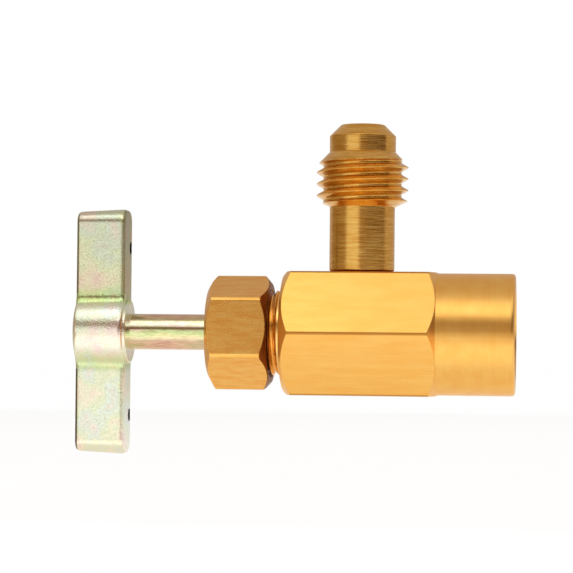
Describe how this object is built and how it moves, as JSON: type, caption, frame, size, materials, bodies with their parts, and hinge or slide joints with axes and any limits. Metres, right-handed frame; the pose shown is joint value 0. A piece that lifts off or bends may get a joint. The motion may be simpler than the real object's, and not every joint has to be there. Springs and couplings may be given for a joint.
{
  "type": "refrigerant can tap",
  "caption": "Brass can-piercing tap valve with a hexagon body, a threaded can socket, a flare outlet at right angles, a hexagon gland nut and a cast wing handle on a screw spindle.",
  "frame": {"origin": "centre of the face that the can seals against, at the inner end of the can thread", "axes": "+X along the spindle axis, out of the can socket; +Z along the outlet, up in the picture; +Y away from the viewer"},
  "size_m": [0.0611, 0.0194, 0.0459],
  "materials": {
    "body_brass": "satin brass, drawn flats",
    "stub_brass": "fine turned brass",
    "nut_brass": "drawn brass",
    "follower_brass": "turned brass",
    "packing_ptfe": "white packing",
    "seal_rubber": "black rubber",
    "plated_steel": "turned steel, yellow passivated zinc plate",
    "needle_steel": "ground steel",
    "passivated_zinc": "zinc die casting, yellow passivated"
  },
  "bodies": {
    "valve": {"valve_body": "body_brass", "outlet_stub": "stub_brass", "gland_nut": "nut_brass", "gland_follower": "follower_brass", "packing_ring_1": "packing_ptfe", "packing_ring_2": "packing_ptfe", "packing_washer": "follower_brass", "can_gasket": "seal_rubber"},
    "seal_carrier": {"stem_seal": "seal_rubber"},
    "spindle_assembly": {"spindle": "plated_steel", "piercing_needle": "needle_steel", "t_handle": "passivated_zinc"}
  },
  "joints": [
    {"name": "spindle_advance", "type": "slide", "parent": "valve", "child": "seal_carrier", "axis": [1, 0, 0], "range_m": [0, 0.007]},
    {"name": "handle_turn", "type": "hinge", "parent": "seal_carrier", "child": "spindle_assembly", "pos_m": [-0.0448, 0, 0], "axis": [1, 0, 0], "range_deg": [0, 2520]}
  ],
  "couplings": [
    {"joint": "spindle_advance", "follows": "handle_turn", "m_per_rad": 0.00015915}
  ]
}
